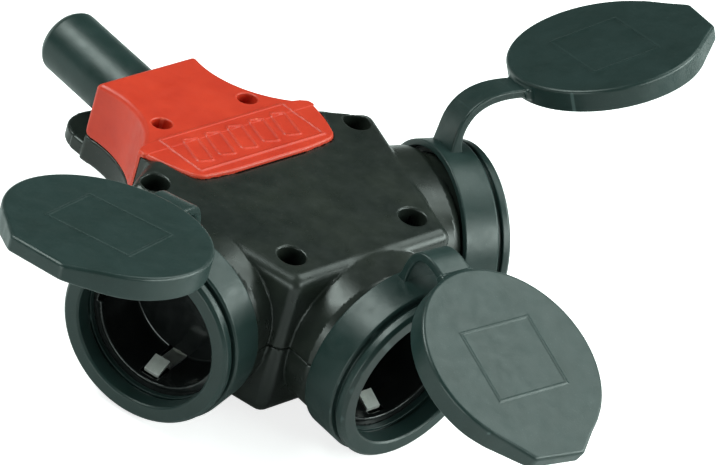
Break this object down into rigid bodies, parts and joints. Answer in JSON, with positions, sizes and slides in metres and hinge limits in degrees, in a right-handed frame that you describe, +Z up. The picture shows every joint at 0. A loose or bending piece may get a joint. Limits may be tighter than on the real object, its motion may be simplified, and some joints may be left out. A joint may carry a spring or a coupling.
{
  "type": "portable power distribution box",
  "caption": "Hand-held splash-proof socket splitter: black split housing, red cable cover, rubber sleeve, earthed plug wells with rubber collars and strapped lids.",
  "frame": {"origin": "middle of the front collar mouth, on the front socket axis, in the parting plane of the housing", "axes": "+Z up out of the face with the screws and the red cover; the cable leaves along +Y; the front socket faces -Y"},
  "size_m": [0.2677, 0.2263, 0.0951],
  "materials": {
    "housing_black": "semi-gloss, moulded",
    "cover_red": "satin, moulded",
    "rubber_green": "satin",
    "insert_black": "glossy",
    "contact_nickel": "bright",
    "steel": "zinc plated",
    "brass": "stamped",
    "block_cream": "moulded"
  },
  "bodies": {
    "housing": {"lower_shell": "housing_black", "upper_shell": "housing_black", "cable_cover": "cover_red", "shell_screws": "steel", "cover_screws": "steel", "shell_nuts": "steel", "cable_sleeve": "rubber_green", "cable_clamp": "insert_black", "clamp_screws": "steel", "terminal_block": "block_cream", "terminal_screws": "brass", "live_rail": "brass", "neutral_rail": "brass", "earth_rail": "brass", "insert_left": "insert_black", "insert_front": "insert_black", "insert_right": "insert_black", "earth_clip_left": "contact_nickel", "earth_clip_front": "contact_nickel", "earth_clip_right": "contact_nickel", "collar_left": "rubber_green", "collar_front": "rubber_green", "collar_right": "rubber_green"},
    "strap_root_left": {"strap_root_left": "rubber_green"},
    "strap_tip_left": {"strap_tip_left": "rubber_green"},
    "lid_left": {"lid_left": "rubber_green"},
    "strap_root_front": {"strap_root_front": "rubber_green"},
    "strap_tip_front": {"strap_tip_front": "rubber_green"},
    "lid_front": {"lid_front": "rubber_green"},
    "strap_root_right": {"strap_root_right": "rubber_green"},
    "strap_tip_right": {"strap_tip_right": "rubber_green"},
    "lid_right": {"lid_right": "rubber_green"}
  },
  "joints": [
    {"name": "strap_left_root", "type": "hinge", "parent": "housing", "child": "strap_root_left", "pos_m": [-0.05321, 0.05106, 0.0301], "axis": [-0.2914, 0.9532, -0.0802], "range_deg": [-20.21, 5.07]},
    {"name": "strap_left_middle", "type": "hinge", "parent": "strap_root_left", "child": "strap_tip_left", "pos_m": [-0.05211, 0.05261, 0.04448], "axis": [-0.2914, 0.9532, -0.0802], "range_deg": [-39.71, 9.95]},
    {"name": "lid_left_hinge", "type": "hinge", "parent": "strap_tip_left", "child": "lid_left", "pos_m": [-0.06598, 0.04838, 0.04466], "axis": [-0.2914, 0.9532, -0.0802], "range_deg": [-39.31, 9.83]},
    {"name": "strap_front_root", "type": "hinge", "parent": "housing", "child": "strap_root_front", "pos_m": [0.00237, 0.0085, 0.03011], "axis": [-0.9969, 0, 0.0785], "range_deg": [-28.06, 7.03]},
    {"name": "strap_front_middle", "type": "hinge", "parent": "strap_root_front", "child": "strap_tip_front", "pos_m": [0.00347, 0.01195, 0.04415], "axis": [-0.9969, 0, 0.0785], "range_deg": [-1.93, 0.5]},
    {"name": "lid_front_hinge", "type": "hinge", "parent": "strap_tip_front", "child": "lid_front", "pos_m": [0.00292, -0.0007, 0.03708], "axis": [-0.9969, 0, 0.0785], "range_deg": [-38.36, 9.59]},
    {"name": "strap_right_root", "type": "hinge", "parent": "housing", "child": "strap_root_right", "pos_m": [0.05508, 0.05719, 0.02888], "axis": [-0.2796, -0.9145, 0.2924], "range_deg": [-3.03, 12.05]},
    {"name": "strap_right_middle", "type": "hinge", "parent": "strap_root_right", "child": "strap_tip_right", "pos_m": [0.06234, 0.05895, 0.04131], "axis": [-0.2796, -0.9145, 0.2924], "range_deg": [-74.39, 18.62]},
    {"name": "lid_right_hinge", "type": "hinge", "parent": "strap_tip_right", "child": "lid_right", "pos_m": [0.07625, 0.05494, 0.04208], "axis": [-0.2796, -0.9145, 0.2924], "range_deg": [-45.15, 11.29]}
  ],
  "couplings": [
    {"joint": "strap_left_root", "follows": "lid_left_hinge", "ratio": 0.5137},
    {"joint": "strap_left_middle", "follows": "lid_left_hinge", "ratio": 1.0097},
    {"joint": "strap_front_root", "follows": "lid_front_hinge", "ratio": 0.731},
    {"joint": "strap_front_middle", "follows": "lid_front_hinge", "ratio": 0.0498},
    {"joint": "strap_right_root", "follows": "lid_right_hinge", "ratio": -0.2664},
    {"joint": "strap_right_middle", "follows": "lid_right_hinge", "ratio": 1.6472}
  ]
}
